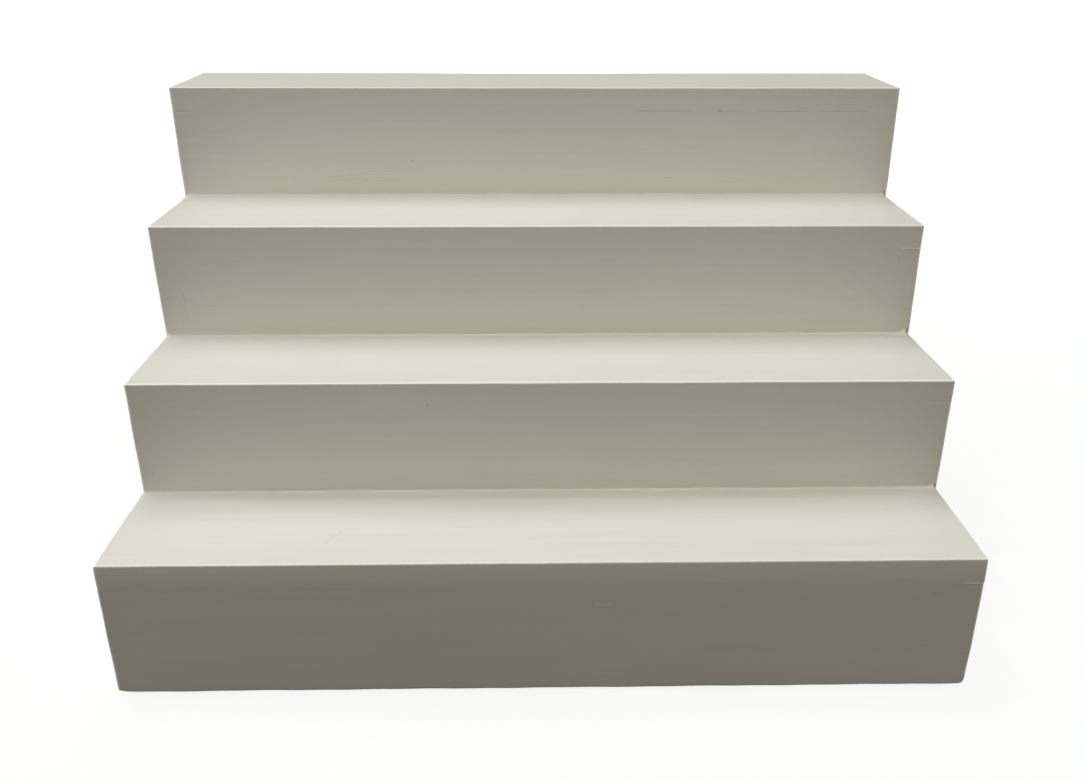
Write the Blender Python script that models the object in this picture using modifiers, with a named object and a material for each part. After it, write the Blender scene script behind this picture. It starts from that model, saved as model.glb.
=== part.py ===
"""Stepped cupcake stand in painted pine: treads on risers, carried by two stepped side panels.

Metres, +Z up. The origin is the middle of the footprint on the table, and the front faces -Y.
Steps are counted from the bottom, from 0 in the code and from 1 in the names of the pieces.
"""

import math

import bmesh
import bpy

# Boards
WIDTH = 0.600  # length of every tread, riser and rail
TREAD_DEPTH = 0.100  # front to back
RISER_HEIGHT = 0.088  # from one seat of the side panels to the next
BOARD = 0.018  # thickness of the treads, risers, side panels and rails
RAIL_HEIGHT = 0.060
CLEAT = 0.020  # square section of the cleats and corner blocks
FLOOR_GAP = 0.002  # keeps the front riser and the bottom rail clear of the table
EASING = 0.002  # radius of the sanded edges
GLUE_LINE = 0.0003  # between pieces that touch
STEPS = 4

# Countersunk screws
SHANK_RADIUS = 0.002
HEAD_RADIUS = 0.004
HEAD_HEIGHT = 0.0025
RECESS_RADIUS = 0.0016
RECESS_DEPTH = 0.0014
POINT_LENGTH = 0.005
WOOD_OVER_POINT = 0.008  # left between a screw's point and the painted face
HOLE_CLEARANCE = 0.0003
RAIL_SCREW_SPACING = 0.030
SCREW_SIDES = 10
SCREW_LENGTH = CLEAT + GLUE_LINE + BOARD - WOOD_OVER_POINT

# Planes that several pieces share
DEPTH = STEPS * TREAD_DEPTH + (STEPS - 1) * GLUE_LINE
FRONT = -DEPTH / 2
BACK = DEPTH / 2
RAIL_FACE = BACK - BOARD  # inner face of the back rails
END = WIDTH / 2
INSIDE = END - BOARD  # inner face of a side panel

# A screw's own -Z is the way it is driven
UPWARD = (math.pi, 0, 0)
FORWARD = (-math.pi / 2, 0, 0)

# An edge of a board, by the side of the board's centre it lies on along X, Y and Z
NOSING = (0, -1, 1)
TOP_BACK = (0, 1, 1)
FRONT_FOOT = (0, -1, -1)
BACK_FOOT = (0, 1, -1)
TOP_ENDS = {(-1, 0, 1), (1, 0, 1)}
FRONT_ENDS = {(-1, -1, 0), (1, -1, 0)}
BACK_ENDS = {(-1, 1, 0), (1, 1, 0)}

SIDES = {"left": -1, "right": 1}


def front_of(step):
    """Where the front face of a step's riser and tread lies."""
    return FRONT + step * (TREAD_DEPTH + GLUE_LINE)


def seat_of(step):
    """Height of the cut in the side panels that a step's tread sits on."""
    return (step + 1) * RISER_HEIGHT + step * GLUE_LINE


def foot_of(step):
    """Height of the lower edge of a step's riser."""
    return seat_of(step - 1) + GLUE_LINE if step else FLOOR_GAP


def clear_scene():
    for old in list(bpy.data.objects):
        bpy.data.objects.remove(old, do_unlink=True)


def new_collection(name):
    collection = bpy.data.collections.new(name)
    bpy.context.scene.collection.children.link(collection)
    return collection


def new_material(name, colour, roughness, metallic=0.0):
    material = bpy.data.materials.new(name)
    material.use_nodes = True
    shader = material.node_tree.nodes["Principled BSDF"]
    shader.inputs["Base Color"].default_value = (*colour, 1.0)
    shader.inputs["Roughness"].default_value = roughness
    shader.inputs["Metallic"].default_value = metallic
    return material


def add_part(name, mesh, material):
    """One piece of the stand, held by the empty at its origin."""
    part = bpy.data.objects.new(name, mesh)
    part.parent = stand
    parts.objects.link(part)
    if not mesh.materials:
        mesh.materials.append(material)
    return part


def add_cutter(name, mesh):
    """A hidden shape that cuts a hole."""
    cutter = bpy.data.objects.new(name, mesh)
    cutter.hide_render = True
    cutter.display_type = "WIRE"
    cutters.objects.link(cutter)
    return cutter


def board(name, low, high, material, eased=frozenset()):
    """A rectangular piece between two corners, with the edges in eased sanded round."""
    size = [b - a for a, b in zip(low, high)]
    shape = bmesh.new()
    bmesh.ops.create_cube(shape, size=1)
    bmesh.ops.scale(shape, vec=size, verts=shape.verts)
    weight = shape.edges.layers.float.new("bevel_weight_edge")
    for edge in shape.edges:
        across = edge.verts[0].co + edge.verts[1].co
        place = tuple(round(a / s) for a, s in zip(across, size))
        edge[weight] = float(place in eased)
    mesh = bpy.data.meshes.new(name)
    shape.to_mesh(mesh)
    shape.free()
    part = add_part(name, mesh, material)
    part.location = [(a + b) / 2 for a, b in zip(low, high)]
    if eased:
        easing = part.modifiers.new("Eased edges", "BEVEL")
        easing.limit_method = "WEIGHT"
        easing.width = EASING
        easing.segments = 2
    return part


def mesh_of(obj):
    """The shape of an object with its modifiers, as a mesh of its own, in place of the object."""
    bpy.context.scene.collection.objects.link(obj)
    shown = obj.evaluated_get(bpy.context.evaluated_depsgraph_get())
    mesh = bpy.data.meshes.new_from_object(shown)
    bpy.data.objects.remove(obj, do_unlink=True)
    return mesh


def turned(name, profile):
    """A mesh turned about Z from a profile of (radius, height), top to bottom."""
    mesh = bpy.data.meshes.new(name)
    steps = [(i, i + 1) for i in range(len(profile) - 1)]
    mesh.from_pydata([(radius, 0, height) for radius, height in profile], steps, [])
    blank = bpy.data.objects.new(name, mesh)
    lathe = blank.modifiers.new("Lathe", "SCREW")
    lathe.steps = lathe.render_steps = SCREW_SIDES
    lathe.use_merge_vertices = True
    lathe.merge_threshold = 0.0001
    turning = mesh_of(blank)
    turning.shade_smooth()
    turning.set_sharp_from_angle(angle=math.radians(30))
    return turning


def screw_mesh():
    """A countersunk wood screw, its head's face at height 0, with a plain round driving recess."""
    return turned(
        "wood_screw",
        [
            (0, -RECESS_DEPTH),
            (RECESS_RADIUS, -RECESS_DEPTH),
            (RECESS_RADIUS, 0),
            (HEAD_RADIUS, 0),
            (SHANK_RADIUS, -HEAD_HEIGHT),
            (SHANK_RADIUS, POINT_LENGTH - SCREW_LENGTH),
            (0, -SCREW_LENGTH),
        ],
    )


def hole_mesh():
    """The drilled and countersunk hole for the screw, standing proud of the wood's face."""
    proud = HEAD_HEIGHT
    return turned(
        "screw_hole",
        [
            (0, proud),
            (HEAD_RADIUS + HOLE_CLEARANCE, proud),
            (HEAD_RADIUS + HOLE_CLEARANCE, 0),
            (SHANK_RADIUS + HOLE_CLEARANCE, -HEAD_HEIGHT),
            (SHANK_RADIUS + HOLE_CLEARANCE, POINT_LENGTH - SCREW_LENGTH),
            (0, -SCREW_LENGTH - HOLE_CLEARANCE),
        ],
    )


def drive_screw(name, head, way, joined):
    """A screw with its head's face at a point, and its hole through the pieces it joins."""
    screw = add_part(name, wood_screw, zinc)
    hole = add_cutter(name + "_hole", screw_hole)
    for obj in (screw, hole):
        obj.location = head
        obj.rotation_euler = way
    for piece in joined:
        drilling = piece.modifiers.new("Drill", "BOOLEAN")
        drilling.operation = "DIFFERENCE"
        drilling.solver = "EXACT"
        drilling.object = hole


def add_riser(step):
    eased = FRONT_ENDS if step else FRONT_ENDS | {FRONT_FOOT}
    low = (-END, front_of(step), foot_of(step))
    high = (END, front_of(step) + BOARD, seat_of(step))
    return board(f"riser_{step + 1}", low, high, paint, eased)


def add_tread(step):
    eased = TOP_ENDS | FRONT_ENDS | {NOSING}
    if step == STEPS - 1:
        eased = eased | BACK_ENDS | {TOP_BACK}
    underside = seat_of(step) + GLUE_LINE
    low = (-END, front_of(step), underside)
    high = (END, front_of(step) + TREAD_DEPTH, underside + BOARD)
    return board(f"tread_{step + 1}", low, high, paint, eased)


def add_rail(name, bottom, eased):
    low = (-END, RAIL_FACE, bottom)
    high = (END, BACK, bottom + RAIL_HEIGHT)
    return board(name, low, high, paint, BACK_ENDS | eased)


def side_outline():
    """Points of a side panel's outline, as (distance back, height), from the front foot upwards."""
    behind_risers = [front_of(step) + BOARD + GLUE_LINE for step in range(STEPS)]
    notch = RAIL_FACE - GLUE_LINE
    points = [(behind_risers[0], 0)]
    for step, back in enumerate([*behind_risers[1:], notch]):
        points.append((behind_risers[step], seat_of(step)))
        points.append((back, seat_of(step)))
    points.append((notch, top_rail_bottom - GLUE_LINE))
    points.append((BACK, top_rail_bottom - GLUE_LINE))
    points.append((BACK, FLOOR_GAP + RAIL_HEIGHT + GLUE_LINE))
    points.append((notch, FLOOR_GAP + RAIL_HEIGHT + GLUE_LINE))
    points.append((notch, 0))
    return points


def add_side_panel(name, side):
    """A stepped panel, notched at the back for the rails."""
    outline = bpy.data.curves.new(name, "CURVE")
    outline.dimensions = "2D"
    outline.fill_mode = "BOTH"
    outline.extrude = BOARD / 2
    points = side_outline()
    spline = outline.splines.new("POLY")
    spline.points.add(len(points) - 1)
    for point, (back, height) in zip(spline.points, points):
        point.co = (back, height, 0, 1)
    spline.use_cyclic_u = True
    mesh = mesh_of(bpy.data.objects.new(name, outline))
    bpy.data.curves.remove(outline)
    shape = bmesh.new()
    shape.from_mesh(mesh)
    bmesh.ops.remove_doubles(shape, verts=shape.verts, dist=0.00001)
    shape.to_mesh(mesh)
    shape.free()
    part = add_part(name, mesh, paint)
    part.location = (side * (END - BOARD / 2), 0, 0)
    part.rotation_euler = (math.pi / 2, 0, math.pi / 2)
    return part


def inside_strip(side):
    """The width of a cleat or block against a side panel, as (low x, high x)."""
    outer = side * (INSIDE - GLUE_LINE)
    return sorted((outer, outer - side * CLEAT))


def add_cleat(name, side, step):
    """A strip on a side panel that a tread is screwed down to."""
    left, right = inside_strip(side)
    front = front_of(step) + BOARD + GLUE_LINE
    back = front_of(step) + TREAD_DEPTH - BOARD - GLUE_LINE
    low = (left, front, seat_of(step) - CLEAT)
    high = (right, back, seat_of(step))
    return board(name, low, high, bare_wood)


def add_block(name, side, step):
    """A strip on a side panel that a riser is screwed back to, under the cleat."""
    left, right = inside_strip(side)
    front = front_of(step) + BOARD + GLUE_LINE
    low = (left, front, foot_of(step) + BOARD)
    high = (right, front + CLEAT, seat_of(step) - CLEAT - GLUE_LINE)
    return board(name, low, high, bare_wood)


def fix_step(step, tread, riser):
    """The cleats, blocks and screws that hold one step's tread and riser."""
    for word, side in SIDES.items():
        place = f"{word}_{step + 1}"
        across = sum(inside_strip(side)) / 2
        cleat = add_cleat(f"tread_cleat_{place}", side, step)
        block = add_block(f"riser_block_{place}", side, step)
        under_cleat = (across, cleat.location.y, seat_of(step) - CLEAT)
        behind_block = (across, block.location.y + CLEAT / 2, block.location.z)
        drive_screw(f"tread_screw_{place}", under_cleat, UPWARD, (cleat, tread))
        drive_screw(f"riser_screw_{place}", behind_block, FORWARD, (block, riser))


def fix_rail(word, rail, panels):
    """Two screws through each end of a back rail into the edge of a side panel."""
    for end, side in SIDES.items():
        for level, up in (("lower", -1), ("upper", 1)):
            height = rail.location.z + up * RAIL_SCREW_SPACING / 2
            head = (side * (END - BOARD / 2), BACK, height)
            drive_screw(f"rail_screw_{word}_{end}_{level}", head, FORWARD, (rail, panels[end]))


clear_scene()
parts = new_collection("cupcake_stand")
cutters = new_collection("cutters")
stand = bpy.data.objects.new("cupcake_stand_origin", None)
parts.objects.link(stand)

paint = new_material("cream_grey_paint", (0.68, 0.65, 0.56), 0.45)
bare_wood = new_material("bare_pine", (0.66, 0.47, 0.27), 0.7)
zinc = new_material("zinc_plated_steel", (0.62, 0.60, 0.55), 0.35, 1.0)

wood_screw = screw_mesh()
screw_hole = hole_mesh()

top_rail_bottom = seat_of(STEPS - 1) - RAIL_HEIGHT
side_panels = {word: add_side_panel(f"side_panel_{word}", side) for word, side in SIDES.items()}
back_rails = {
    "bottom": add_rail("back_rail_bottom", FLOOR_GAP, {BACK_FOOT}),
    "top": add_rail("back_rail_top", top_rail_bottom, set()),
}
for place, back_rail in back_rails.items():
    fix_rail(place, back_rail, side_panels)
for number in range(STEPS):
    fix_step(number, add_tread(number), add_riser(number))
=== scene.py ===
"""Looks of the stepped cupcake stand: hand-brushed paint over pine boards, with bare pine inside.

Metres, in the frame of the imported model: the front faces -Y and the stand rests on height 0.
Steps are counted from the bottom, from 1, as in the names of the pieces.
"""

import math

import bmesh
import bpy
import numpy as np
from mathutils import Matrix, Vector, noise


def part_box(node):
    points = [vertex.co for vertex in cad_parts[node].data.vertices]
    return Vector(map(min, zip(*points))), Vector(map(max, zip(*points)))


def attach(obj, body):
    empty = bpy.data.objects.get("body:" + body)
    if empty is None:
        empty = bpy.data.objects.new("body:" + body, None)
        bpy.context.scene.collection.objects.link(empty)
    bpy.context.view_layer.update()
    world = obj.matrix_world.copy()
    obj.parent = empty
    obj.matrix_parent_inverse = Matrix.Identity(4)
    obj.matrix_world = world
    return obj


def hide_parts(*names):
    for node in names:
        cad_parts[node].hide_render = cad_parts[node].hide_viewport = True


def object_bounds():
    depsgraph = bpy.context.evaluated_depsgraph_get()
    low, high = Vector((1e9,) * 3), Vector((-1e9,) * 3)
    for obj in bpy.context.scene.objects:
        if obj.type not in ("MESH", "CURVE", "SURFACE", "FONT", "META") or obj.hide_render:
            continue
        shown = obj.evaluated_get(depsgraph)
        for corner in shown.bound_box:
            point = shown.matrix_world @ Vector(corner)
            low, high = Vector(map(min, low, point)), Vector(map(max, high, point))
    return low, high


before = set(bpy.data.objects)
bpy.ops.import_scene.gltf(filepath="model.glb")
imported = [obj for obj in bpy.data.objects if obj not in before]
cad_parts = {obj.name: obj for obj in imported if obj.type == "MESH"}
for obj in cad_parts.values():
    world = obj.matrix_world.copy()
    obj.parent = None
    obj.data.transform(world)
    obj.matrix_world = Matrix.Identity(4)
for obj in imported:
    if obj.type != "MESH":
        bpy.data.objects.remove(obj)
cad_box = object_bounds()

# Sizes and planes read from the frame
STEPS = range(1, 5)
TOP_STEP = STEPS[-1]
SIDES = {"left": -1, "right": 1}
TREADS = {step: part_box(f"tread_{step}") for step in STEPS}
RISERS = {step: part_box(f"riser_{step}") for step in STEPS}
RAILS = {word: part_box(f"back_rail_{word}") for word in ("bottom", "top")}
FRONT = cad_box[0].y
BACK = cad_box[1].y
END = cad_box[1].x
GLUE_LINE = TREADS[1][0].z - RISERS[1][1].z
RISE = TREADS[2][1].z - TREADS[1][1].z

# Where the photographed stand is out of true
BACKS_LOWERED = {2: 0.0014}  # how far a tread lies lower at its back
FRONTS_RAISED = {4: 0.0014}  # and how far the front of a step stands higher

# Colours
PAINT_COLOUR = (0.773, 0.756, 0.692)
EARLY_WOOD = (0.72, 0.51, 0.29)
LATE_WOOD = (0.52, 0.31, 0.14)
KNOT_WOOD = (0.22, 0.10, 0.04)
ZINC_COLOUR = (0.46, 0.45, 0.43)


# Shader nodes


def new_material(name):
    """An empty material and its node tree."""
    material = bpy.data.materials.new(name)
    material.use_nodes = True
    material.node_tree.nodes.clear()
    return material, material.node_tree


def put(tree, socket, value):
    """Links a socket to an input, or sets the input to a value."""
    if isinstance(value, bpy.types.NodeSocket):
        tree.links.new(value, socket)
    else:
        socket.default_value = value


def node(tree, kind, **values):
    """A new node. Capitalised values go to the inputs of that name, the others to its settings."""
    made = tree.nodes.new("ShaderNode" + kind)
    for key, value in values.items():
        if key[0].isupper():
            put(tree, made.inputs[key.replace("_", " ")], value)
        else:
            setattr(made, key, value)
    return made


def calculate(tree, operation, *operands, **settings):
    """The result of a sum on numbers."""
    made = node(tree, "Math", operation=operation, **settings)
    for socket, operand in zip(made.inputs, operands):
        put(tree, socket, operand)
    return made.outputs[0]


def vector_sum(tree, operation, *operands, **values):
    """The node of a sum on vectors."""
    made = node(tree, "VectorMath", operation=operation, **values)
    for socket, operand in zip(made.inputs, operands):
        put(tree, socket, operand)
    return made


def object_place(tree):
    """A point's place in the frame, in metres."""
    return node(tree, "TexCoord").outputs["Object"]


def noise_node(tree, place, scale, detail=2.0, roughness=0.5):
    """Noise whose features are about one metre divided by scale, along each axis."""
    stretched = vector_sum(tree, "MULTIPLY", place, scale).outputs[0]
    return node(tree, "TexNoise", Vector=stretched, Scale=1.0, Detail=detail, Roughness=roughness)


def noise_at(tree, *how):
    """The same noise as a number from 0 to 1."""
    return noise_node(tree, *how).outputs["Fac"]


def swayed(tree, place, scale, reach):
    """A place moved about by noise, by up to half a reach."""
    drift = noise_node(tree, place, scale).outputs["Color"]
    centred = vector_sum(tree, "SUBTRACT", drift, (0.5, 0.5, 0.5)).outputs[0]
    moved = vector_sum(tree, "SCALE", centred, Scale=reach).outputs[0]
    return vector_sum(tree, "ADD", place, moved).outputs[0]


def remap(tree, value, low, high, new_low, new_high):
    """A value taken from one range to another, held at its ends."""
    made = node(
        tree, "MapRange", Value=value, From_Min=low, From_Max=high, To_Min=new_low, To_Max=new_high
    )
    return made.outputs[0]


def blend_colours(tree, factor, first, second, blend_type="MIX"):
    """The first colour where the factor is 0, the second where it is 1."""
    made = node(tree, "Mix", data_type="RGBA", blend_type=blend_type)
    factor_input = made.inputs[0]
    first_input = made.inputs[6]
    second_input = made.inputs[7]
    put(tree, factor_input, factor)
    put(tree, first_input, first)
    put(tree, second_input, second)
    return made.outputs[2]


def opaque(colour, share=1.0):
    """A colour, lightened or darkened by a share, with its alpha."""
    return tuple(min(1.0, part * share) for part in colour) + (1.0,)


def finish_shader(tree, **values):
    """The surface shader and the output."""
    shader = node(tree, "BsdfPrincipled", **values)
    output = node(tree, "OutputMaterial")
    tree.links.new(shader.outputs[0], output.inputs["Surface"])


# Marks in the paint, with painted highlights and painted shade

# Widths, and places on a front as x and the depth under the top of its step
GRIT = 0.0013
HAIRLINE = 0.0010
SMUDGE = 0.0050
STAINS_AND_PAINTED_LIGHT = [  # step, from, to, width, and the share of the paint's colour there
    (2, (-0.0836, 0.0168), (-0.0832, 0.0169), GRIT, 0.50),
    (4, (-0.1057, 0.0592), (-0.1053, 0.0592), GRIT, 0.62),
    (4, (0.1518, 0.0176), (0.1526, 0.0175), GRIT, 0.70),
    (3, (-0.2638, 0.0641), (-0.2530, 0.0641), HAIRLINE, 0.88),
    (3, (-0.2812, 0.0537), (-0.2807, 0.0751), HAIRLINE, 0.90),
    (2, (-0.2901, 0.0663), (-0.2883, 0.0751), HAIRLINE, 0.90),
    (1, (0.0343, 0.0325), (0.0433, 0.0334), 0.0032, 1.07),
    (1, (-0.2730, 0.0145), (-0.2690, 0.0145), SMUDGE, 0.94),
    (1, (0.2660, 0.0269), (0.2716, 0.0269), SMUDGE, 0.94),
    (1, (0.2982, 0.0012), (0.2990, 0.0020), GRIT, 0.25),
    # painted highlights: light lines along the joints at the right ends of the risers, where the edge of
    # the joint catches light
    (1, (0.2875, 0.0187), (END, 0.0187), HAIRLINE, 1.18),
    (2, (0.2800, 0.0183), (END, 0.0183), HAIRLINE, 1.06),
    (3, (0.2839, 0.0183), (END, 0.0183), 0.0013, 1.24),
    # painted shade: dark slits where the gaps beside the ends of the caulk runs lie in shadow
    (4, (0.2985, 0.0850), (0.2985, 0.0880), HAIRLINE, 0.22),
    (3, (0.2980, 0.0850), (0.2978, 0.0891), HAIRLINE, 0.30),
    (2, (0.2983, 0.0850), (0.2976, 0.0878), 0.0014, 0.28),
]
RIDGE_WIDTH = 0.0016
RIDGE_DROP = Vector((0.0, 0.0, -0.0011))  # from the painted shade on its upper side to the painted highlight on its lower side
RIDGE_SHADE_AND_HIGHLIGHT = (0.93, 1.05)  # of these two sides: painted shade and painted highlight
RIDGES = [  # step, from, to: paint left standing by the brush, and breaks over a joint, each drawn as painted shade above a painted highlight
    (4, (-0.1820, 0.0727), (-0.1364, 0.0697)),
    (4, (-0.1320, 0.0702), (-0.1229, 0.0702)),
    (4, (-0.1481, 0.0756), (-0.1209, 0.0762)),
    (4, (0.1593, 0.0771), (0.1763, 0.0774)),
    (4, (0.1069, 0.0735), (0.1146, 0.0735)),
    (4, (0.2554, 0.0070), (0.2679, 0.0070)),
    (4, (0.0817, 0.0177), (0.1285, 0.0177)),
    (4, (0.1503, 0.0177), (0.1729, 0.0177)),
    (4, (0.1846, 0.0177), (0.2257, 0.0177)),
    (4, (0.2358, 0.0177), (0.2762, 0.0177)),
    (4, (-0.2978, 0.0177), (-0.2854, 0.0177)),
    (3, (0.2826, 0.0259), (0.2835, 0.0325)),
]
SCRATCH = ((-0.1515, -0.1725), (-0.1419, -0.1582))  # x and y on the lowest tread
SCRATCH_TONE = 0.84
NOSING_HIGHLIGHT_WIDTH = 0.0036  # width of the painted highlight along the front edges of the treads
NOSING_HIGHLIGHT_SETBACK = 0.0009
NOSING_HIGHLIGHT_TONE = 1.26
WOBBLES = (420.0, 420.0, 420.0)  # how often the edges of marks wander, per metre
WOBBLE_REACH = 0.0009


def on_front(step, at):
    """A point on the front of a step."""
    x, depth = at
    return Vector((x, RISERS[step][0].y, TREADS[step][1].z - depth))


def on_tread(step, at):
    """A point on the top of a step, near its front."""
    return Vector((*at, TREADS[step][1].z + FRONTS_RAISED.get(step, 0.0)))


def marks_of(step):
    """The marks, painted highlights and painted shade of a step: from, to, width, and the share of the
    paint's colour.
    """
    marks = []
    for on_step, start, end, width, tone in STAINS_AND_PAINTED_LIGHT:
        if on_step == step:
            marks.append((on_front(step, start), on_front(step, end), width, tone))
    for on_step, start, end in RIDGES:
        if on_step == step:
            # each ridge is a line of painted shade over a line of painted highlight
            upper = [on_front(step, at) for at in (start, end)]
            lower = [place + RIDGE_DROP for place in upper]
            marks.append((*upper, RIDGE_WIDTH, RIDGE_SHADE_AND_HIGHLIGHT[0]))
            marks.append((*lower, RIDGE_WIDTH, RIDGE_SHADE_AND_HIGHLIGHT[1]))
    if step == STEPS[0]:
        marks.append((*[on_tread(step, at) for at in SCRATCH], HAIRLINE, SCRATCH_TONE))
    # a painted highlight along the front edge of the tread
    edge = TREADS[step][0].y + NOSING_HIGHLIGHT_SETBACK
    marks.append((on_tread(step, (-END, edge)), on_tread(step, (END, edge)), NOSING_HIGHLIGHT_WIDTH, NOSING_HIGHLIGHT_TONE))
    return marks


def stroke(tree, place, start, end, width):
    """1 along a straight stroke between two points, falling to 0 at half its width."""
    run = end - start
    offset = vector_sum(tree, "SUBTRACT", place, start).outputs[0]
    along = vector_sum(tree, "DOT_PRODUCT", offset, run / run.length_squared).outputs["Value"]
    held = calculate(tree, "ADD", along, 0.0, use_clamp=True)
    nearest = vector_sum(tree, "SCALE", run, Scale=held).outputs[0]
    away = vector_sum(tree, "DISTANCE", offset, nearest).outputs["Value"]
    return remap(tree, away, 0.15 * width, 0.5 * width, 1.0, 0.0)


def marked(tree, place, colour, marks):
    """The paint's colour with these marks, painted highlights and painted shade in it."""
    wobbly = swayed(tree, place, WOBBLES, WOBBLE_REACH)
    share = 1.0
    for start, end, width, tone in marks:
        mask = stroke(tree, wobbly, start, end, width)
        share = calculate(tree, "MULTIPLY_ADD", mask, tone - 1.0, share)
    return vector_sum(tree, "SCALE", colour, Scale=share).outputs[0]


# Brushed paint

THIN_PAINT = 0.972  # shares of the paint's colour where the coat is thin and where it is thick
THICK_PAINT = 1.022
PAINT_ROUGHNESS = (0.33, 0.43)
PAINT_SPECULAR = 0.28
BRISTLE_HEIGHT = 0.000070  # depth of the brush marks
ALONG_STROKES = 14.0  # how often they vary along a stroke and across it, per metre
ACROSS_STROKES = 420.0
LENGTHWISE = (ALONG_STROKES, ACROSS_STROKES, ACROSS_STROKES)
UPRIGHT = (ACROSS_STROKES, ACROSS_STROKES, ALONG_STROKES)
ALONG_CAULK = (60.0, ACROSS_STROKES, ACROSS_STROKES)
# share of the paint's colour on the caulk: lighter than the paint around it, a painted highlight where
# the caulk catches light
CAULK_HIGHLIGHT_TONE = 1.10
STREAKS = 0.35  # how often broad streaks vary, as a share of how often brush marks do
PATCHES = (7.0, 11.0, 11.0)  # how often the coat grows thicker and thinner along each axis, per metre


def paint_material(name, strokes, tone=1.0, marks=()):
    """Brushed eggshell paint. strokes is how often the brush marks vary along each axis, per metre."""
    material, tree = new_material(name)
    place = object_place(tree)
    bristles = noise_at(tree, place, strokes, 4.0, 0.62)
    patches = noise_at(tree, place, PATCHES, 3.0)
    streaks = noise_at(tree, place, [STREAKS * often for often in strokes], 2.0)
    cover = calculate(tree, "ADD", bristles, calculate(tree, "ADD", patches, streaks))
    ramp = node(tree, "ValToRGB", Fac=remap(tree, cover, 1.0, 2.0, 0.0, 1.0))
    thin, thick = ramp.color_ramp.elements
    thin.color = opaque(PAINT_COLOUR, THIN_PAINT * tone)
    thick.color = opaque(PAINT_COLOUR, THICK_PAINT * tone)
    colour = ramp.outputs["Color"]
    if marks:
        colour = marked(tree, place, colour, marks)
    height = remap(tree, bristles, 0.2, 0.8, 0.0, BRISTLE_HEIGHT)
    finish_shader(
        tree,
        Base_Color=colour,
        Roughness=remap(tree, bristles, 0.3, 0.7, *PAINT_ROUGHNESS),
        Specular_IOR_Level=PAINT_SPECULAR,
        Normal=node(tree, "Bump", Strength=1.0, Distance=1.0, Height=height).outputs["Normal"],
    )
    return material


# Bare pine

LAP_REACH = (0.001, 0.012)  # how far paint was dragged round an outside edge
LAP_EDGE = 0.0004  # half the width over which it ends
RAGGED = (70.0, 70.0, 70.0)  # how often its edge wanders, per metre
BARE_ROUGHNESS = 0.72
LAP_ROUGHNESS = 0.45


def paint_lap(tree, place):
    """1 where paint was dragged a little way onto bare wood, else 0."""
    along = node(tree, "SeparateXYZ", Vector=place).outputs
    from_end = calculate(tree, "SUBTRACT", END, calculate(tree, "ABSOLUTE", along["X"]))
    from_front = calculate(tree, "SUBTRACT", along["Y"], FRONT)
    from_back = calculate(tree, "SUBTRACT", BACK, along["Y"])
    nearest = calculate(tree, "MINIMUM", from_end, calculate(tree, "MINIMUM", from_front, from_back))
    ragged = noise_at(tree, place, RAGGED, 4.0, 0.65)
    reach = remap(tree, ragged, 0.3, 0.7, *LAP_REACH)
    inside = calculate(tree, "SUBTRACT", reach, nearest)
    return remap(tree, inside, -LAP_EDGE, LAP_EDGE, 0.0, 1.0)


def by_grain(grain, along, across):
    """A value for each axis: one along the grain, another across it."""
    return [along if axis == grain else across for axis in "XYZ"]


def pine_material(name, grain):
    """Bare planed pine with its grain along X, Y or Z."""
    material, tree = new_material(name)
    place = object_place(tree)
    bent = swayed(tree, place, by_grain(grain, 1.6, 9.0), 0.05)
    rings = node(
        tree, "TexWave", wave_type="RINGS", rings_direction=grain, wave_profile="SAW",
        Vector=bent, Scale=45.0, Distortion=0.6, Detail=2.0, Detail_Scale=2.0,
    )
    wood = node(tree, "ValToRGB", Fac=rings.outputs["Fac"])
    early, late = wood.color_ramp.elements
    early.position, early.color = 0.25, opaque(EARLY_WOOD)
    late.position, late.color = 0.95, opaque(LATE_WOOD)
    fibres = noise_at(tree, place, by_grain(grain, 14.0, 900.0), 2.0, 0.6)
    streaky = remap(tree, fibres, 0.25, 0.75, 0.6, 1.2)
    wood = blend_colours(tree, 0.35, wood.outputs["Color"], streaky, "MULTIPLY")
    stretched = vector_sum(tree, "MULTIPLY", bent, by_grain(grain, 4.5, 11.0)).outputs[0]
    cells = node(tree, "TexVoronoi", Vector=stretched, Scale=1.0)
    knot = remap(tree, cells.outputs["Distance"], 0.05, 0.10, 0.85, 0.0)
    wood = blend_colours(tree, knot, wood, opaque(KNOT_WOOD))
    lap = paint_lap(tree, place)
    bump = node(tree, "Bump", Strength=0.5, Distance=0.00012, Height=fibres)
    finish_shader(
        tree,
        Base_Color=blend_colours(tree, lap, wood, opaque(PAINT_COLOUR)),
        Roughness=remap(tree, lap, 0.0, 1.0, BARE_ROUGHNESS, LAP_ROUGHNESS),
        Normal=bump.outputs["Normal"],
    )
    return material


# Zinc-plated steel

ZINC_TONES = (0.88, 1.06)
ZINC_ROUGHNESS = (0.26, 0.44)
MOTTLE = (900.0, 900.0, 900.0)  # how often the tone and the gloss vary, per metre
SCUFFS = (2600.0, 2600.0, 2600.0)


def zinc_material(name):
    """Zinc-plated steel with a faint mottle."""
    material, tree = new_material(name)
    place = object_place(tree)
    mottle = noise_at(tree, place, MOTTLE, 3.0)
    scuffs = noise_at(tree, place, SCUFFS, 2.0)
    dull, bright = [opaque(ZINC_COLOUR, tone) for tone in ZINC_TONES]
    finish_shader(
        tree,
        Base_Color=blend_colours(tree, mottle, dull, bright),
        Metallic=1.0,
        Roughness=remap(tree, scuffs, 0.3, 0.7, *ZINC_ROUGHNESS),
    )
    return material


# The materials of the pieces

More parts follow.
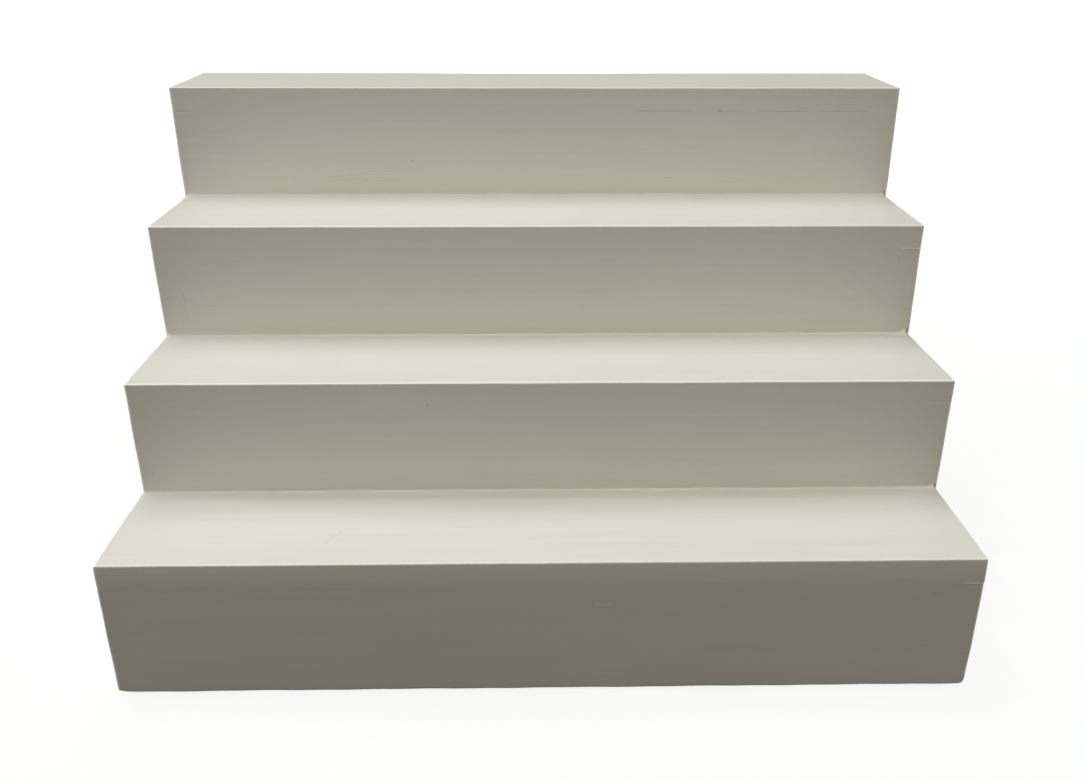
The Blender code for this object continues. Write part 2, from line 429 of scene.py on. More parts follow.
paint_lengthwise = paint_material("paint_brushed_lengthwise", LENGTHWISE)
paint_upright = paint_material("paint_brushed_upright", UPRIGHT)
paint_caulk = paint_material("paint_over_caulk", ALONG_CAULK, tone=CAULK_HIGHLIGHT_TONE)
paint_of_step = {
    step: paint_material(f"paint_of_step_{step}", LENGTHWISE, marks=marks_of(step)) for step in STEPS
}
pine = {grain: pine_material(f"pine_grain_along_{grain.lower()}", grain) for grain in "XYZ"}
zinc = zinc_material("zinc_plated_steel")


# Meshes

JOINT_GAP = 0.00004  # left between two boards that meet
NOSING_RADIUS = 0.0008  # radius of the front edges of the treads
EASING = 0.0020  # radius of the other sanded edges
CRACK = 0.0001  # radius of an edge beside a joint that shows at the front
SEAM = 0.0004  # and at the sides
PAINT_LAP = 0.0012  # how far paint runs round an edge onto a bare side
WARP = 0.00012  # how far planing, sanding and paint leave a face from flat
WARP_SPAN = 0.045
WARP_SEED = 7
SANDING_WAVES = [(0.14, 0.017, 1.0), (0.10, 0.0061, 2.3)]  # of the radius of a sanded edge

# Where the mesh of a board is cut: these distances from its edges, then evenly
EDGE_CUTS = (0.0002, 0.0005, 0.0009, 0.0014, 0.0020, 0.0028, 0.0042, 0.0060)
CUT_SPACING = 0.006


def cuts_between(low, high):
    """Where a board's mesh is cut along one axis, from edge to edge."""
    inner = np.array(EDGE_CUTS)
    first, last = low + inner[-1], high - inner[-1]
    even = np.linspace(first, last, max(2, round((last - first) / CUT_SPACING) + 1))
    return np.concatenate([[low], low + inner[:-1], even, high - inner[-2::-1], [high]])


def cuts_through(levels):
    """The cuts along one axis of a piece that has edges at these levels."""
    levels = sorted(set(levels))
    return np.unique(np.concatenate([cuts_between(a, b) for a, b in zip(levels, levels[1:])]))


def shell_of(cuts, solid):
    """The outside of a grid of cells, solid where the array is true.

    Gives the points, the four corners of each face, and the axis and side that each face looks to.
    """
    counts = [len(places) for places in cuts]
    corner = np.arange(np.prod(counts)).reshape(counts)
    padded = np.pad(solid, 1)
    quads, axes, sides = [], [], []
    for axis in range(3):
        u, v = np.eye(3, dtype=int)[[(axis + 1) % 3, (axis + 2) % 3]]
        for side in (-1, 1):
            beyond = np.roll(padded, -side, axis)[1:-1, 1:-1, 1:-1]
            cells = np.argwhere(solid & ~beyond)
            cells[:, axis] += side > 0
            ring = [cells, cells + u, cells + u + v, cells + v][::side]
            quads.append(np.stack([corner[tuple(c.T)] for c in ring], axis=1))
            axes.append(np.full(len(cells), axis))
            sides.append(np.full(len(cells), side))
    used, quads = np.unique(np.concatenate(quads), return_inverse=True)
    grid = np.meshgrid(*cuts, indexing="ij")
    points = np.stack([g.ravel()[used] for g in grid], axis=1)
    return points, quads.reshape(-1, 4), np.concatenate(axes), np.concatenate(sides)


def ease(points, box, edge, radius):
    """Rounds an edge of a board, named by the side of the board it lies on along X, Y and Z.

    radius gives the radius at each place along the edge.
    """
    along = edge.index(0)
    across = [axis for axis in range(3) if axis != along]
    faces = [box[(edge[axis] + 1) // 2][axis] for axis in across]
    depths = [(face - points[:, axis]) * edge[axis] for axis, face in zip(across, faces)]
    reach = radius(points[:, along])
    away = np.hypot(reach - depths[0], reach - depths[1])
    outside = (depths[0] < reach) & (depths[1] < reach) & (away > reach)
    pulled = reach[outside] / away[outside]
    for axis, face, depth in zip(across, faces, depths):
        rounded = reach[outside] - (reach - depth)[outside] * pulled
        points[outside, axis] = face - edge[axis] * rounded


def wander(place, seed, waves):
    """A sum of waves along a length, each with its reach, its length and its share of the seed."""
    return sum(reach * np.sin(place / length + share * seed) for reach, length, share in waves)


def sanded(radius, seed):
    """The radius of an edge rounded by hand, which wanders along its length."""
    return lambda place: radius * (1 + wander(place, seed, SANDING_WAVES))


noise.seed_set(WARP_SEED)


def settle(points):
    """Moves points off the true planes a little, alike for all pieces, so that joints stay closed."""
    for point in points:
        shift = noise.noise_vector(Vector(point) / WARP_SPAN)
        point += WARP * np.array(shift)


def add_piece(name, mesh, slot, *replaced):
    """A piece of the object, which stands for these solids."""
    piece = bpy.data.objects.new(name, mesh)
    bpy.context.scene.collection.objects.link(piece)
    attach(piece, "root")
    if replaced:
        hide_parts(*replaced)
    return piece


def shade(mesh, sharp_angle=35.0):
    """Smooth shading, apart from sharp corners."""
    mesh.shade_smooth()
    mesh.set_sharp_from_angle(angle=math.radians(sharp_angle))


def join_rings(shape, rings):
    """Faces between rings of points that follow each other."""
    for ring, after in zip(rings, rings[1:]):
        for count in range(len(ring)):
            following = (count + 1) % len(ring)
            shape.faces.new([ring[count], after[count], after[following], ring[following]])


def mesh_from(shape, name, *materials):
    """A mesh with the faces of an edited shape, which is then let go."""
    mesh = bpy.data.meshes.new(name)
    shape.to_mesh(mesh)
    shape.free()
    for material in materials:
        mesh.materials.append(material)
    return mesh


def board_mesh(name, points, quads, materials, finish):
    """A mesh of a board with several finishes, finish being the index of each face's material."""
    settle(points)
    mesh = bpy.data.meshes.new(name)
    mesh.from_pydata(points.tolist(), [], quads.tolist())
    for material in materials:
        mesh.materials.append(material)
    mesh.polygons.foreach_set("material_index", np.asarray(finish, dtype=np.int32))
    shade(mesh)
    return mesh


def painted_board(node_name, box, painted, edges, paint, *touches):
    """A board that stands for a solid: painted on some sides, bare inside.

    painted holds (axis, side) pairs, edges the radius along each rounded edge, paint the finish of
    its long sides and touches functions that reshape its points afterwards.
    """
    cuts = [cuts_between(*ends) for ends in zip(*box)]
    solid = np.ones([len(places) - 1 for places in cuts], dtype=bool)
    points, quads, axes, sides = shell_of(cuts, solid)
    middles = points[quads].mean(axis=1)
    near_paint = np.zeros(len(quads), dtype=bool)
    for axis, side in painted:
        near_paint |= np.abs(middles[:, axis] - box[(side + 1) // 2][axis]) < PAINT_LAP
    bare, lengthwise, upright = range(3)
    finish = np.where(near_paint, lengthwise, bare)
    for axis, side in painted:
        finish[(axes == axis) & (sides == side)] = upright if axis == 0 else lengthwise
    for edge, radius in edges.items():
        ease(points, box, edge, radius)
    for touch in touches:
        touch(points, box)
    materials = [pine["X"], paint, paint_upright]
    name = node_name + "_board"
    return add_piece(name, board_mesh(name, points, quads, materials, finish), "paint", node_name)


# Faces by axis and side, and edges by the side they lie on along X, Y and Z
ENDS = {(0, -1), (0, 1)}
FRONT_FACE = (1, -1)
BACK_FACE = (1, 1)
UNDERSIDE = (2, -1)
TOP_FACE = (2, 1)
FRONT_TOP = (0, -1, 1)
FRONT_FOOT = (0, -1, -1)
BACK_TOP = (0, 1, 1)
BACK_FOOT = (0, 1, -1)
TOP_ENDS = [(side, 0, 1) for side in (-1, 1)]
FOOT_ENDS = [(side, 0, -1) for side in (-1, 1)]
FRONT_ENDS = [(side, -1, 0) for side in (-1, 1)]
BACK_ENDS = [(side, 1, 0) for side in (-1, 1)]


def rounded(edges, radius, seed):
    """The same hand-sanded radius for several edges."""
    return {edge: sanded(radius, seed + count) for count, edge in enumerate(edges)}


# Treads and risers

# Stretches of the joints between a tread and the riser under it that show through the paint
SHOWING_JOINTS = {
    1: [(0.285, END)],
    2: [(0.276, END)],
    3: [(0.281, END)],
    4: [(-0.298, -0.284), (0.080, 0.130), (0.149, 0.174), (0.184, 0.227), (0.235, 0.278)],
}
JOINT_FADE = 0.004  # over which such a stretch starts and ends
BEAD_HEIGHT = {1: 0.00026, 2: 0.00022, 3: 0.00055, 4: 0.00030}  # of the paint squeezed out there
BEAD_DEPTHS = (0.0, 0.0002, 0.0005, 0.0009, 0.0014)  # below the joint
BEAD_SECTION = (0.0, 0.8, 1.0, 0.5, 0.0)
LEAN = 0.0012  # how far the top of the lowest tread's front was sanded back
LEAN_REACH = 0.02
RIGHT_CORNER = 0.0062  # radius of the knocked lower right corner of the front riser
LEFT_CORNER = 0.0012
WORN_LENGTH = 0.010  # of the worn foot at its lower left corner
WORN_HEIGHT = 0.0017
WORN_FALL = 1.5  # how steeply it falls off
LONGER_ENDS = {4: (0.0018, 0.0012)}  # how far the boards of a step stand out at the left and right
EVEN_ENDS = (0.0, 0.0)

# How far the front corners of a step stand out: at the left, top and foot, and at the right, top and foot
SLANTS = {
    1: ((0.0013, -0.0005), (0.0005, -0.0001)),
    2: ((0.0003, -0.0017), (0.0007, 0.0002)),
    3: ((0.0022, -0.0009), (-0.0002, 0.0002)),
    4: ((0.0013, -0.0008), (-0.0002, 0.0003)),
}
SLANT_REACH = 0.05  # over which the boards stretch for it


def showing(step, place):
    """1 where the joint under a tread shows, 0 elsewhere, with soft ends."""
    shown = np.zeros_like(place)
    for start, end in SHOWING_JOINTS[step]:
        rise = np.clip((place - start) / JOINT_FADE, 0, 1)
        fall = 1.0 if end == END else np.clip((end - place) / JOINT_FADE, 0, 1)
        shown += rise * fall
    return shown


def opened(step, radius):
    """The radius of an edge beside the joint under a tread."""
    return lambda place: radius * showing(step, place)


def bead(step):
    """A bead of paint squeezed out along the top of a riser, where the joint over it shows."""

    def touch(points, box):
        depth = box[1].z - points[:, 2]
        at_front = points[:, 1] < box[0].y + CRACK
        section = np.interp(depth, BEAD_DEPTHS, BEAD_SECTION) * at_front
        points[:, 1] -= BEAD_HEIGHT[step] * section * showing(step, points[:, 0])

    return touch


def lean_back(points, box):
    """Takes the top of a front face back a little."""
    low, high = box
    up = (points[:, 2] - low.z) / (high.z - low.z)
    near_front = np.clip(1 - (points[:, 1] - low.y) / LEAN_REACH, 0, 1)
    points[:, 1] += LEAN * up ** 2 * near_front


def wear_foot(points, box):
    """Wears the lower left corner of the front riser away to a shallow slope."""
    from_left = np.clip(1 - (points[:, 0] - box[0].x) / WORN_LENGTH, 0, 1)
    near_foot = np.clip(1 - (points[:, 2] - box[0].z) / WORN_LENGTH, 0, 1)
    points[:, 2] += WORN_HEIGHT * from_left ** WORN_FALL * near_foot


def lower_back(step):
    """Lets the top of a tread slope down to its back."""

    def touch(points, box):
        low, high = box
        up = (points[:, 2] - low.z) / (high.z - low.z)
        back = (points[:, 1] - low.y) / (high.y - low.y)
        points[:, 2] -= BACKS_LOWERED[step] * up * back

    return touch


def raise_front(step):
    """Raises the front of a step, by nothing at its foot and at the back of its tread."""

    def touch(points, box):
        up = np.clip(1 - (TREADS[step][1].z - points[:, 2]) / RISE, 0, 1)
        at_front = (TREADS[step][1].y - points[:, 1]) / (TREADS[step][1].y - TREADS[step][0].y)
        points[:, 2] += FRONTS_RAISED[step] * up * at_front

    return touch


def out_of_square(step):
    """Ends sawn a little out of square, most so at the front corners."""
    top, foot = TREADS[step][1].z, RISERS[step][0].z

    def touch(points, box):
        low, high = box
        down = (top - points[:, 2]) / (top - foot)
        at_front = (high.y - points[:, 1]) / (high.y - low.y)
        left, right = [at_top + (at_foot - at_top) * down for at_top, at_foot in SLANTS[step]]
        near_left = np.clip(1 - (points[:, 0] - low.x) / SLANT_REACH, 0, 1)
        near_right = np.clip(1 - (high.x - points[:, 0]) / SLANT_REACH, 0, 1)
        points[:, 0] += at_front * (right * near_right - left * near_left)

    return touch


def out_of_true(step):
    """What takes the boards of a step out of true."""
    touches = [out_of_square(step)]
    if step in FRONTS_RAISED:
        touches.append(raise_front(step))
    return touches


def grown(box, left=0.0, right=0.0, below=0.0, above=0.0):
    """A solid's box made longer at its ends, or over the glue lines under and over it."""
    low = box[0] - Vector((left, 0.0, below))
    high = box[1] + Vector((right, 0.0, above))
    return low, high


def add_tread(step):
    """A tread, painted on top, in front and at its ends."""
    painted = ENDS | {FRONT_FACE, TOP_FACE}
    edges = rounded([FRONT_TOP], NOSING_RADIUS, step)
    edges |= rounded([*TOP_ENDS, *FRONT_ENDS], EASING, step + 0.2)
    edges |= rounded(FOOT_ENDS, SEAM, step + 0.4)
    edges[FRONT_FOOT] = opened(step, CRACK)
    if step == TOP_STEP:
        painted |= {BACK_FACE}
        edges |= rounded([BACK_TOP, *BACK_ENDS], EASING, step + 0.5)
    touches = out_of_true(step)
    if step in BACKS_LOWERED:
        touches.append(lower_back(step))
    if step == STEPS[0]:
        touches.append(lean_back)
    box = grown(TREADS[step], *LONGER_ENDS.get(step, EVEN_ENDS))
    painted_board(f"tread_{step}", box, painted, edges, paint_of_step[step], *touches)


def add_riser(step):
    """A riser, painted in front and at its ends."""
    seam = GLUE_LINE - JOINT_GAP
    painted = ENDS | {FRONT_FACE}
    edges = rounded(FRONT_ENDS, EASING, step + 0.3) | rounded(BACK_ENDS, SEAM, step + 0.6)
    edges[FRONT_TOP] = opened(step, CRACK)
    touches = [bead(step), *out_of_true(step)]
    if step == STEPS[0]:
        edges |= rounded([FRONT_FOOT], EASING, 0.9)
        edges |= rounded(FOOT_ENDS[:1], LEFT_CORNER, 0.7)
        edges |= rounded(FOOT_ENDS[1:], RIGHT_CORNER, 0.8)
        touches.append(wear_foot)
        box = grown(RISERS[step], above=seam)
    else:
        box = grown(RISERS[step], *LONGER_ENDS.get(step, EVEN_ENDS), below=seam, above=seam)
    painted_board(f"riser_{step}", box, painted, edges, paint_of_step[step], *touches)


# Side panels


def add_side_panel(word):
    """A stepped panel behind the risers and under the treads, notched at the back for the rails.

    It rises with a step whose front is raised, so that the joints between them stay closed.
    """
    low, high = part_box(f"side_panel_{word}")
    behind = {step: RISERS[step][1].y + JOINT_GAP for step in STEPS}
    under = {step: TREADS[step][0].z - JOINT_GAP for step in STEPS}
    notch = RAILS["top"][0].y - JOINT_GAP
    over_bottom_rail = RAILS["bottom"][1].z + JOINT_GAP
    below_top_rail = RAILS["top"][0].z - JOINT_GAP
    cuts = [
        cuts_between(low.x, high.x),
        cuts_through([*behind.values(), notch, BACK]),
        cuts_through([low.z, over_bottom_rail, below_top_rail, *under.values()]),
    ]
    across, back, height = [(places[1:] + places[:-1]) / 2 for places in cuts]
    steps_up = np.zeros((len(back), len(height)), dtype=bool)
    for step in STEPS:
        steps_up |= (back[:, None] > behind[step]) & (height[None, :] < under[step])
    in_back_edge = (height > over_bottom_rail) & (height < below_top_rail)
    steps_up &= (back[:, None] < notch) | in_back_edge[None, :]
    solid = np.broadcast_to(steps_up, (len(across), *steps_up.shape))
    points, quads, axes, sides = shell_of(cuts, solid)
    for step in FRONTS_RAISED:
        raise_front(step)(points, (low, high))
    outward = (0, SIDES[word])
    finish = [int((axis, side) in {outward, BACK_FACE}) for axis, side in zip(axes, sides)]
    name = f"side_panel_{word}_board"
    mesh = board_mesh(name, points, quads, [pine["Z"], paint_upright], finish)
    add_piece(name, mesh, "paint", f"side_panel_{word}")


# Screws

EXAMPLE_LOW, EXAMPLE_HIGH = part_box("rail_screw_top_left_upper")
SCREW_LENGTH = EXAMPLE_HIGH.y - EXAMPLE_LOW.y
SCREW_HEAD = (EXAMPLE_HIGH.x - EXAMPLE_LOW.x) / 2
SCREW_SHANK = SCREW_HEAD / 2
HEAD_HEIGHT = 0.0025
HEAD_RIM = 0.0003
RIM_BEVEL = 0.0002
HOLE_CLEARANCE = 0.0002
CROSS_REACH = 0.0023
CROSS_HALF_WIDTH = 0.00055
CROSS_DEPTH = 0.0016
CROSS_BEVEL = 0.0001
THREAD_PITCH = 0.0018
THREAD_DEPTH = 0.0006
POINT_LENGTH = 0.005
TIP_LENGTH = 0.0005  # of the plain cone at its end
SCREW_SIDES = 48
THREAD_RINGS = 6  # rings of points in each turn of the thread
SCREW_TURN = 0.7  # radians from one recess to the next


def screw_rings():
    """Points of a cross-head wood screw, ring by ring from the bottom of its recess to its point."""
    turns = np.linspace(0, 2 * math.pi, SCREW_SIDES, endpoint=False)
    off_arm = (turns + math.pi / 4) % (math.pi / 2) - math.pi / 4
    sideways = np.maximum(np.abs(np.sin(off_arm)), 1e-6)
    cross = np.minimum(CROSS_REACH / np.cos(off_arm), CROSS_HALF_WIDTH / sideways)
    rings = [
        (0.5 * cross, -CROSS_DEPTH),
        (cross, -CROSS_BEVEL),
        (cross + CROSS_BEVEL, 0.0),
        (SCREW_HEAD - RIM_BEVEL, 0.0),
        (SCREW_HEAD, -RIM_BEVEL),
        (SCREW_HEAD, -HEAD_RIM),
        (SCREW_SHANK, -HEAD_HEIGHT),
    ]
    thread_length = SCREW_LENGTH - HEAD_HEIGHT - TIP_LENGTH
    for drop in np.arange(0, thread_length, THREAD_PITCH / THREAD_RINGS):
        taper = min(1.0, (thread_length - drop) / POINT_LENGTH)
        phase = (drop / THREAD_PITCH + turns / (2 * math.pi)) % 1
        ridge = 1 - np.abs(2 * phase - 1)
        radius = taper * (SCREW_SHANK - THREAD_DEPTH * (1 - ridge ** 2))
        rings.append((radius, -HEAD_HEIGHT - drop))
    return [
        np.stack([radius * np.cos(turns), radius * np.sin(turns), np.full(SCREW_SIDES, height)], axis=1)
        for radius, height in rings
    ]


def screw_mesh():
    """A screw with its head's face at height 0, driven along -Z."""
    shape = bmesh.new()
    rings = [[shape.verts.new(point) for point in ring] for ring in screw_rings()]
    join_rings(shape, rings)
    shape.faces.new(rings[0])
    tip = shape.verts.new((0, 0, -SCREW_LENGTH))
    for count in range(SCREW_SIDES):
        shape.faces.new([rings[-1][count], tip, rings[-1][(count + 1) % SCREW_SIDES]])
    bmesh.ops.recalc_face_normals(shape, faces=shape.faces)
    mesh = mesh_from(shape, "cross_head_screw", zinc)
    shade(mesh)
    return mesh


def add_screw(node_name, mesh, turn):
    """A screw in place of its solid. Those in the cleats go up, the others forward."""
    low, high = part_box(node_name)
    middle = (low + high) / 2
    screw = add_piece(node_name + "_zinc", mesh, "screw", node_name)
    if node_name.startswith("tread_screw"):
        screw.location = (middle.x, middle.y, low.z)
        screw.rotation_euler = (math.pi, 0, turn)
    else:
        screw.location = (middle.x, high.y, middle.z)
        screw.rotation_euler = (-math.pi / 2, turn, 0)


def add_screws():
    """All the screws, each turned a little further than the one before."""
    mesh = screw_mesh()
    names = sorted(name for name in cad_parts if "_screw_" in name)
    for count, name in enumerate(names):
        add_screw(name, mesh, SCREW_TURN * count)


# Back rails


def countersinks(screw_names):
    """A cutter for the countersunk holes of screws driven forward."""
    shape = bmesh.new()
    rim = SCREW_HEAD + HOLE_CLEARANCE
    slope = (SCREW_HEAD - SCREW_SHANK) / HEAD_HEIGHT
    for name in screw_names:
        low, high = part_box(name)
        hole = bmesh.ops.create_cone(
            shape, cap_ends=True, segments=SCREW_SIDES,
            radius1=rim - slope * HEAD_HEIGHT, radius2=rim + slope * HEAD_HEIGHT, depth=2 * HEAD_HEIGHT,
        )
        forward = Matrix.Rotation(-math.pi / 2, 3, "X")
        bmesh.ops.rotate(shape, verts=hole["verts"], matrix=forward)
        middle = (low + high) / 2
        bmesh.ops.translate(shape, verts=hole["verts"], vec=(middle.x, high.y, middle.z))
    return bpy.data.objects.new("countersinks", mesh_from(shape, "countersinks"))


def drill(board, screw_names):
    """Cuts the countersunk holes into a board."""
    cutter = countersinks(screw_names)
    bpy.context.scene.collection.objects.link(cutter)
    cut = board.modifiers.new("holes", "BOOLEAN")
    cut.object = cutter
    drilled = board.evaluated_get(bpy.context.evaluated_depsgraph_get())
    board.data = bpy.data.meshes.new_from_object(drilled)
    board.modifiers.clear()
    bpy.data.objects.remove(cutter)
    shade(board.data)


def add_rail(word):
    """A back rail, painted on the back, at its ends and on the edge next to the opening."""
    painted = ENDS | {BACK_FACE, TOP_FACE if word == "bottom" else UNDERSIDE}
    edges = rounded(BACK_ENDS, EASING, len(word))
    if word == "bottom":
        edges |= rounded([BACK_FOOT, BACK_TOP], EASING, 3.1)
        box = RAILS[word]
    else:
        edges |= rounded([BACK_FOOT], EASING, 4.1)
        box = grown(RAILS[word], above=GLUE_LINE - JOINT_GAP)
    board = painted_board(f"back_rail_{word}", box, painted, edges, paint_lengthwise)
    drill(board, [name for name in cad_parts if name.startswith(f"rail_screw_{word}")])


# Caulk in the corners between a tread and the riser behind it

CAULK = 0.0013  # height and depth of a run of caulk
CAULK_SPACING = 0.0010
CAULK_TUCK = 0.0003  # how far its hidden corner lies inside the wood
CAULK_FACES = 5  # across its front
CAULK_SAG = 0.10  # how hollow its front is
CAULK_START = 0.0020  # from the left end
CAULK_STOPS = {2: 0.2972, 3: 0.2968, 4: 0.2982}  # where each run ends short of the right corner
RIGHT_SMEARS = {2: 0.0028, 3: 0.0034, 4: 0.0008}  # how high the finger dragged it there
LEFT_SMEARS = {2: 0.0006, 3: 0.0018, 4: 0.0012}  # and at the left end
SMEAR_LENGTH = 0.0055
SMEAR_DEPTH = 0.7  # of its height
SMEAR_FALL = 1.4  # how steeply it falls off
CAULK_WAVES = [(0.22, 0.011, 1.0), (0.16, 0.0037, 3.0)]  # of its height
CAULK_SHARP_ANGLE = 50.0


def caulk_section(x, height, depth, step):
    """The points round a run of caulk at one place along it."""
    face = RISERS[step][0].y
    shelf = TREADS[step - 1][1].z - BACKS_LOWERED.get(step - 1, 0.0)
    ring = [(x, face + CAULK_TUCK, shelf - CAULK_TUCK)]
    for part in np.linspace(0, 1, CAULK_FACES + 1):
        sag = CAULK_SAG * math.sin(math.pi * part)
        ring.append((x, face - depth * (part - sag), shelf + height * (1 - part - sag)))
    return ring


def add_caulk(step):
    """A run of caulk pressed into a corner with a finger, and dragged up a little where it ends."""
    places = np.arange(CAULK_START - END, CAULK_STOPS[step], CAULK_SPACING)
    swell = 1 + wander(places, step, CAULK_WAVES)
    at_right = np.clip(1 - (places[-1] - places) / SMEAR_LENGTH, 0, 1)
    at_left = np.clip(1 - (places - places[0]) / SMEAR_LENGTH, 0, 1)
    smears = RIGHT_SMEARS[step] * at_right ** SMEAR_FALL + LEFT_SMEARS[step] * at_left ** SMEAR_FALL
    heights = CAULK * swell + smears
    depths = CAULK * (2 - swell) + SMEAR_DEPTH * smears
    shape = bmesh.new()
    rings = []
    for x, height, depth in zip(places, heights, depths):
        rings.append([shape.verts.new(point) for point in caulk_section(x, height, depth, step)])
    join_rings(shape, rings)
    shape.faces.new(rings[0])
    shape.faces.new(rings[-1][::-1])
    bmesh.ops.recalc_face_normals(shape, faces=shape.faces)
    mesh = mesh_from(shape, f"caulk_{step}", paint_caulk)
    shade(mesh, CAULK_SHARP_ANGLE)
    add_piece(f"caulk_under_riser_{step}", mesh, "paint")


# Cleats and corner blocks

HIDDEN_GRAIN = {"tread_cleat": "Y", "riser_block": "Z"}


def finish_hidden_wood():
    """The cleats and corner blocks keep their solids, in pine with the grain along their length."""
    for name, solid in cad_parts.items():
        for kind, grain in HIDDEN_GRAIN.items():
            if name.startswith(kind):
                solid.data.materials[0] = pine[grain]


# The whole stand

for step in STEPS:
    add_tread(step)
    add_riser(step)
for word in SIDES:
    add_side_panel(word)
for word in RAILS:
    add_rail(word)
add_screws()
finish_hidden_wood()
for step in STEPS[1:]:
    add_caulk(step)


# Floor and room

WHITE = (1.0, 1.0, 1.0)
FLOOR_SPAN = 400.0
FLOOR_GAP = 0.0002  # between the floor and the feet
NEAR_STAND = 0.5
FAR_FROM_STAND = 2.5
FLOOR_GLOW = 0.88  # the floor's own brightness in the picture near the stand, and 1 far from it
FLOOR_IN_PICTURE = 0.12  # how much of the light on it the picture shows
FLOOR_UNDER_STAND = 0.60  # the same under the stand, where it doesn't glow
FLOOR_TO_OBJECT = 0.03  # how much it throws back on the object
WORLD_LIGHT = 0.06
UNDER_EDGE = 0.008  # how far in from the outline of the stand the floor under it starts
DARK_END_HEIGHT = math.radians(12)  # of the dark end of the room, behind the stand
DARK_END = Vector((0.0, math.cos(DARK_END_HEIGHT), math.sin(DARK_END_HEIGHT)))
DARK_ANGLE = math.radians(32)
PALE_ANGLE = math.radians(55)


def seen_directly(tree):
    """1 for what the camera sees, also in gloss and through glass, 0 for light on the object."""
    rays = node(tree, "LightPath").outputs
    seen = calculate(tree, "MAXIMUM", rays["Is Camera Ray"], rays["Is Glossy Ray"])
    return calculate(tree, "MAXIMUM", seen, rays["Is Transmission Ray"])


def under_stand(tree, place):
    """1 on the floor under the stand, 0 beside it."""
    along = node(tree, "SeparateXYZ", Vector=place).outputs
    sideways = calculate(tree, "ABSOLUTE", along["X"])
    lengthways = calculate(tree, "ABSOLUTE", along["Y"])
    between_ends = calculate(tree, "LESS_THAN", sideways, END - UNDER_EDGE)
    between_faces = calculate(tree, "LESS_THAN", lengthways, BACK - UNDER_EDGE)
    return calculate(tree, "MULTIPLY", between_ends, between_faces)


def floor_material():
    """White in the picture and in reflections, with the object's shadow, and dull to the object."""
    material, tree = new_material("pale_floor")
    place = object_place(tree)
    away = vector_sum(tree, "LENGTH", place).outputs["Value"]
    open_glow = remap(tree, away, NEAR_STAND, FAR_FROM_STAND, FLOOR_GLOW, 1.0)
    covered = under_stand(tree, place)
    uncovered = calculate(tree, "SUBTRACT", 1.0, covered)
    glow = node(tree, "Emission", Strength=calculate(tree, "MULTIPLY", open_glow, uncovered))
    shade_of_grey = remap(tree, covered, 0.0, 1.0, FLOOR_IN_PICTURE, FLOOR_UNDER_STAND)
    lit = node(tree, "BsdfDiffuse", Color=shade_of_grey)
    white = node(tree, "AddShader")
    tree.links.new(glow.outputs[0], white.inputs[0])
    tree.links.new(lit.outputs[0], white.inputs[1])
    dull = node(tree, "BsdfDiffuse", Color=opaque(WHITE, FLOOR_TO_OBJECT))
    choice = node(tree, "MixShader", Fac=seen_directly(tree))
    tree.links.new(dull.outputs[0], choice.inputs[1])
    tree.links.new(white.outputs[0], choice.inputs[2])
    output = node(tree, "OutputMaterial")
    tree.links.new(choice.outputs[0], output.inputs["Surface"])
    return material


def add_floor():
    """A floor that reaches past every view."""
    shape = bmesh.new()
    bmesh.ops.create_grid(shape, x_segments=2, y_segments=2, size=FLOOR_SPAN / 2)
    floor = bpy.data.objects.new("floor", mesh_from(shape, "floor", floor_material()))
    floor.location.z = cad_box[0].z - FLOOR_GAP
    bpy.context.scene.collection.objects.link(floor)


def room_brightness(tree):
    """White in the picture, and in gloss apart from the dark end of the room, but dim as light."""
    direction = node(tree, "TexCoord").outputs["Generated"]
    towards = vector_sum(tree, "DOT_PRODUCT", direction, DARK_END).outputs["Value"]
    darkness = remap(tree, towards, math.cos(PALE_ANGLE), math.cos(DARK_ANGLE), 0.0, 1.0)
    glossy = node(tree, "LightPath").outputs["Is Glossy Ray"]
    dark_in_gloss = calculate(tree, "MULTIPLY", darkness, glossy)
    white = calculate(tree, "SUBTRACT", seen_directly(tree), dark_in_gloss)
    return remap(tree, white, 0.0, 1.0, WORLD_LIGHT, 1.0)


def add_room():
    """The world round the stand."""
    world = bpy.data.worlds.new("studio")
    world.use_nodes = True
    tree = world.node_tree
    background = tree.nodes["Background"]
    put(tree, background.inputs["Color"], opaque(WHITE))
    put(tree, background.inputs["Strength"], room_brightness(tree))
    bpy.context.scene.world = world


# Light

LIT_POINT = Vector((0.0, 0.0, 0.2))
LAMP_DISTANCE = 3.3
SOFTBOX = 1.5
BACK_SOFTBOX = 0.3  # small and low enough to stay below the top tread
WARM = (1.08, 1.0, 0.81)
SOFTBOXES = [  # name, elevation, azimuth from the back towards the right, size, strength, tint
    ("right_softbox", 10, 90, SOFTBOX, 0.405, WHITE),
    ("left_softbox", 10, 270, SOFTBOX, 0.690, WHITE),
    ("back_softbox", 0, 0, BACK_SOFTBOX, 0.450, WHITE),
    ("front_softbox", 50, 160, SOFTBOX, 0.215, WARM),
    ("top_left_softbox", 70, 240, SOFTBOX, 0.140, WHITE),
    ("top_back_softbox", 70, 330, SOFTBOX, 0.340, WHITE),
]
GLARE_FREE = {"right_softbox", "left_softbox", "back_softbox"}  # low ones, kept out of gloss
SMALL_LAMP_PLACE = Vector((-0.9, 0.26, 2.9))
SMALL_LAMP = 0.04
SMALL_LAMP_STRENGTH = 0.10


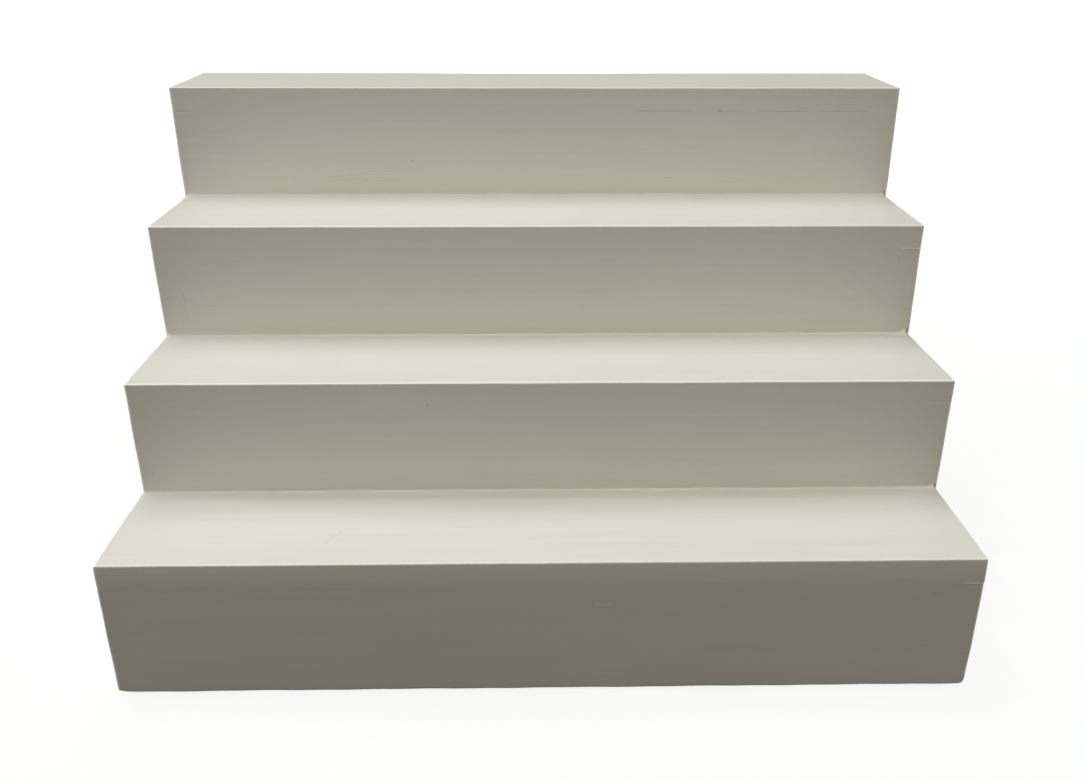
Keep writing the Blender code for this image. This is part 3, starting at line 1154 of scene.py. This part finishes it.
def add_lamp(name, place, strength, size, tint):
    """A disc that shines at the stand. A white surface that faces one of strength 1 renders white."""
    towards = place - LIT_POINT
    lamp = bpy.data.lights.new(name, "AREA")
    lamp.shape = "DISK"
    lamp.size = size
    lamp.energy = strength * math.pi ** 2 * towards.length_squared
    lamp.color = tint
    holder = bpy.data.objects.new(name, lamp)
    holder.location = place
    holder.rotation_euler = towards.to_track_quat("Z", "Y").to_euler()
    holder.visible_camera = False
    holder.visible_glossy = name not in GLARE_FREE
    bpy.context.scene.collection.objects.link(holder)


def softbox_place(elevation, azimuth):
    """Where a softbox stands, from two angles in degrees."""
    up, turn = math.radians(elevation), math.radians(azimuth)
    outward = (math.cos(up) * math.sin(turn), math.cos(up) * math.cos(turn), math.sin(up))
    return LIT_POINT + LAMP_DISTANCE * Vector(outward)


def add_lamps():
    """The softboxes round the stand, and a small lamp high up at the back left."""
    for name, elevation, azimuth, size, strength, tint in SOFTBOXES:
        add_lamp(name, softbox_place(elevation, azimuth), strength, size, tint)
    add_lamp("small_lamp", SMALL_LAMP_PLACE, SMALL_LAMP_STRENGTH, SMALL_LAMP, WHITE)


# Camera

PHOTO_WIDTH = 1083
FOCAL_LENGTH_PIXELS = 1074.1
SENSOR_MILLIMETRES = 36.0
CAMERA_PLACE = (-0.0160, -0.8098, 0.5041)
CAMERA_TURN = (66.061, -0.205, -1.156)  # degrees


def add_camera():
    """The camera that took the photograph, as fitted to the corners of the steps."""
    lens = bpy.data.cameras.new("camera")
    lens.sensor_fit = "HORIZONTAL"
    lens.sensor_width = SENSOR_MILLIMETRES
    lens.lens = SENSOR_MILLIMETRES * FOCAL_LENGTH_PIXELS / PHOTO_WIDTH
    camera = bpy.data.objects.new("camera", lens)
    camera.location = CAMERA_PLACE
    camera.rotation_euler = [math.radians(turn) for turn in CAMERA_TURN]
    bpy.context.scene.collection.objects.link(camera)
    bpy.context.scene.camera = camera


# The whole picture

add_floor()
add_room()
add_lamps()
add_camera()
bpy.context.scene.view_settings.view_transform = "Standard"
